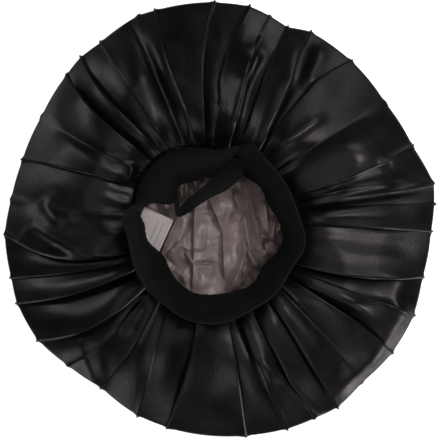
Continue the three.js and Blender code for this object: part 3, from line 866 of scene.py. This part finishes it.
def add_stripes(material, colour):
    """The label's colour, with plain thin lines along it."""
    places = add_node(material, "ShaderNodeSeparateXYZ")
    link(material, cloth_places(material, (1, 1)), places.inputs["Vector"])
    here = None
    for across in LABEL_LINES["across"]:
        apart = add_node(material, "ShaderNodeMath", operation="COMPARE")
        apart.inputs[1].default_value = across
        apart.inputs[2].default_value = LABEL_LINES["half_width"]
        link(material, places.outputs["X"], apart.inputs[0])
        if here is None:
            here = apart.outputs["Value"]
        else:
            both = add_node(material, "ShaderNodeMath", operation="MAXIMUM")
            link(material, here, both.inputs[0])
            link(material, apart.outputs["Value"], both.inputs[1])
            here = both.outputs["Value"]
    short = add_node(material, "ShaderNodeMath", operation="COMPARE")
    short.inputs[1].default_value = 0
    short.inputs[2].default_value = LABEL_LINES["half_length"]
    link(material, places.outputs["Y"], short.inputs[0])
    lines = add_node(material, "ShaderNodeMath", operation="MULTIPLY")
    link(material, here, lines.inputs[0])
    link(material, short.outputs["Value"], lines.inputs[1])
    paint = add_node(material, "ShaderNodeMix", data_type="RGBA")
    paint.inputs["A"].default_value = (*colour, 1)
    paint.inputs["B"].default_value = (*shade(colour, 0.45), 1)
    link(material, lines.outputs["Value"], paint.inputs["Factor"])
    return paint.outputs["Result"]


def satin_material():
    colour = (0.003, 0.0026, 0.0028)
    material, shader = new_material("black_satin", colour, 0.34)
    shader.inputs["Specular IOR Level"].default_value = 0.25
    shader.inputs["Specular Tint"].default_value = (1, 0.91, 0.95, 1)
    clouds = noise(material, (0.03, 0.03), 3)
    mottle(material, shader, colour, clouds, shades=(0.7, 1.5), roughness=(0.29, 0.39))
    weave = noise(material, (1.4, 0.12))
    dimples = noise(material, (0.2, 0.2))
    add_bump(material, shader, [(weave, 0.06), (dimples, 0.12)])
    return material


def lining_material():
    colour = (0.3, 0.237, 0.224)
    material, shader = new_material("taupe_satin", colour, 0.4)
    clouds = noise(material, (0.06, 0.06), 3)
    mottle(material, shader, colour, clouds, shades=(0.75, 1.15), roughness=(0.32, 0.42))
    weave = noise(material, (0.12, 1.4))
    dimples = noise(material, (0.2, 0.1))
    add_bump(material, shader, [(weave, 0.08), (dimples, 0.5)])
    return material


def knit_material():
    colour = (0.006, 0.006, 0.006)
    material, shader = new_material("black_knit", colour, 0.85)
    shader.inputs["Specular IOR Level"].default_value = 0.12
    clouds = noise(material, (0.05, 0.05), 3)
    mottle(material, shader, colour, clouds, shades=(0.75, 1.35), roughness=(0.8, 0.92))
    knit = ribs(material, 1.2, "X")
    fuzz = noise(material, (0.9, 2.2))
    add_bump(material, shader, [(knit, 0.1), (fuzz, 0.08)])
    return material


def elastic_material():
    colour = (0.0045, 0.0045, 0.0045)
    material, shader = new_material("black_elastic", colour, 0.75)
    shader.inputs["Specular IOR Level"].default_value = 0.2
    clouds = noise(material, (0.15, 0.15), 2)
    mottle(material, shader, colour, clouds, shades=(0.7, 1.5), roughness=(0.68, 0.82))
    cords = ribs(material, 1.0, "X")
    fuzz = noise(material, (1.5, 0.8))
    add_bump(material, shader, [(cords, 0.12), (fuzz, 0.1)])
    return material


def label_material():
    colour = (0.75, 0.66, 0.66)
    material, shader = new_material("white_label", colour, 0.6)
    striped = add_stripes(material, colour)
    link(material, striped, shader.inputs["Base Color"])
    clouds = noise(material, (0.4, 0.4), 2)
    add_range(material, clouds, 0.55, 0.65, shader.inputs["Roughness"])
    warp = ribs(material, 0.5, "X")
    weft = ribs(material, 0.5, "Y")
    add_bump(material, shader, [(warp, 0.03), (weft, 0.03)])
    return material


# ---- Assembly ------------------------------------------------------------------------------
def dress(piece, material, node):
    piece.data.materials.clear()
    piece.data.materials.append(material)
    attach(piece, "root")
    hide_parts(node)


shell = satin_piece()
lining = lining_piece()
band = band_piece()
strap = strap_piece()
label = label_piece()

dress(shell, satin_material(), "satin_crown")
dress(lining, lining_material(), "lining")
dress(band, knit_material(), "stretch_band")
dress(strap, elastic_material(), "elastic_strap")
dress(label, label_material(), "care_label")


# ---- Studio --------------------------------------------------------------------------------
# Soft boxes aimed at the cap, in metres: where each one is, by its angle round from +X and its
# height in degrees, its size, and how bright its face is.
Lamp = namedtuple("Lamp", "name azimuth elevation distance size luminance")
LAMPS = (
    Lamp("top_box", 0, 90, 1.9, (1.2, 1.2), 0.8),
    Lamp("left_box", 150, 34, 1.5, (0.6, 0.3), 6.8),
    Lamp("back_box", 56, 44, 1.5, (0.6, 0.3), 5.4),
    Lamp("front_box", 268, 50, 1.5, (0.45, 0.3), 5.2),
    Lamp("low_right_box", 318, 14, 1.5, (0.6, 0.2), 24.0),
    Lamp("low_left_box", 228, 14, 1.5, (0.6, 0.2), 9.0),
    Lamp("key_box", 14, 57, 1.5, (0.22, 0.22), 35.0),
)
AMBIENT = 0.06  # grey of the room's own light
FLOOR = {"size": 6, "grey": 0.86, "roughness": 0.9, "glow": 0.85}
# The camera looks straight down: its place, and how much of the floor its frame takes in.
EYE = {"x": 0.46, "y": -0.93, "z": 1550, "frame": 407.9}
SENSOR = 36  # width of the camera's sensor


def area_light(box):
    light = bpy.data.lights.new(box.name, "AREA")
    light.shape = "RECTANGLE"
    light.size, light.size_y = box.size
    light.energy = box.luminance * math.pi * box.size[0] * box.size[1]
    placed = bpy.data.objects.new(box.name, light)
    bpy.context.scene.collection.objects.link(placed)
    a, e = math.radians(box.azimuth), math.radians(box.elevation)
    placed.location = (
        box.distance * math.cos(e) * math.cos(a),
        box.distance * math.cos(e) * math.sin(a),
        box.distance * math.sin(e),
    )
    placed.rotation_euler = (math.pi / 2 - e, 0, a + math.pi / 2)


def studio():
    scene = bpy.context.scene
    world = bpy.data.worlds.new("studio")
    scene.world = world
    world.use_nodes = True
    background = world.node_tree.nodes["Background"]
    background.inputs["Color"].default_value = (AMBIENT, AMBIENT, AMBIENT, 1)
    for box in LAMPS:
        area_light(box)
    bpy.ops.mesh.primitive_plane_add(size=FLOOR["size"], location=(0, 0, 0))
    floor = bpy.context.object
    floor.name = "floor"
    material, shader = new_material("floor", (FLOOR["grey"],) * 3, FLOOR["roughness"])
    shader.inputs["Emission Color"].default_value = (1, 1, 1, 1)
    shader.inputs["Emission Strength"].default_value = FLOOR["glow"]
    floor.data.materials.append(material)
    scene.view_settings.view_transform = "Standard"


def camera():
    lens = bpy.data.cameras.new("camera")
    lens.sensor_width = SENSOR
    lens.lens = SENSOR * EYE["z"] / EYE["frame"]
    placed = bpy.data.objects.new("camera", lens)
    placed.location = (EYE["x"] * MM, EYE["y"] * MM, EYE["z"] * MM)
    bpy.context.scene.collection.objects.link(placed)
    bpy.context.scene.camera = placed


studio()
camera()
